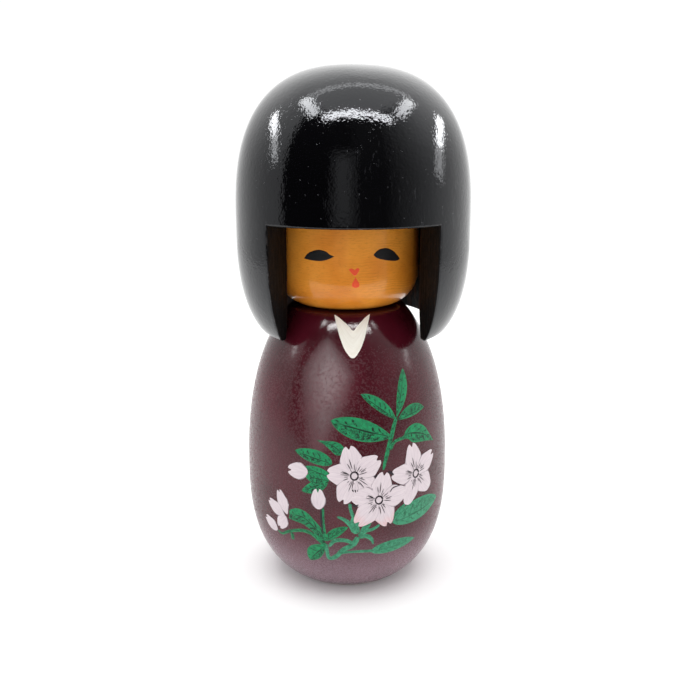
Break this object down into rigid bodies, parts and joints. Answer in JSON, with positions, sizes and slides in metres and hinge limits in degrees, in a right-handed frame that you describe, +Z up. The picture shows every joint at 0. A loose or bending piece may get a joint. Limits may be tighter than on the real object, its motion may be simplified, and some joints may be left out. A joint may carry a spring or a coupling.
{
  "type": "kokeshi doll",
  "caption": "Turned wooden doll with an egg-shaped body, a bobbed hair cap over a cylindrical face and a head that turns on a neck peg.",
  "frame": {"origin": "centre of the flat base of the body, on the surface it stands on", "axes": "+Z up along the turning axis of the body and the neck peg, the face looks along -Y, +X to the doll's left"},
  "size_m": [0.074, 0.074, 0.1652],
  "materials": {
    "body_lacquer": "dark maroon satin lacquer, hand painted with flowers and a collar",
    "peg_wood": "plain sanded hardwood dowel",
    "face_wood": "natural wood under clear satin wax, painted eyes and lips",
    "hair_lacquer": "polished black lacquer",
    "black_paint": "brushed black paint, eyes and stems",
    "red_paint": "brushed red paint, lips",
    "white_paint": "brushed off-white paint, collar and petals",
    "green_paint": "brushed green paint with dark veins, leaves and stems"
  },
  "bodies": {
    "body": {"body": "body_lacquer"},
    "head": {"neck_peg": "peg_wood", "face_core": "face_wood", "hair_cap": "hair_lacquer"}
  },
  "joints": [
    {"name": "head_turn", "type": "hinge", "parent": "body", "child": "head", "pos_m": [0, 0, 0.0913], "axis": [0, 0, 1], "continuous": true}
  ]
}
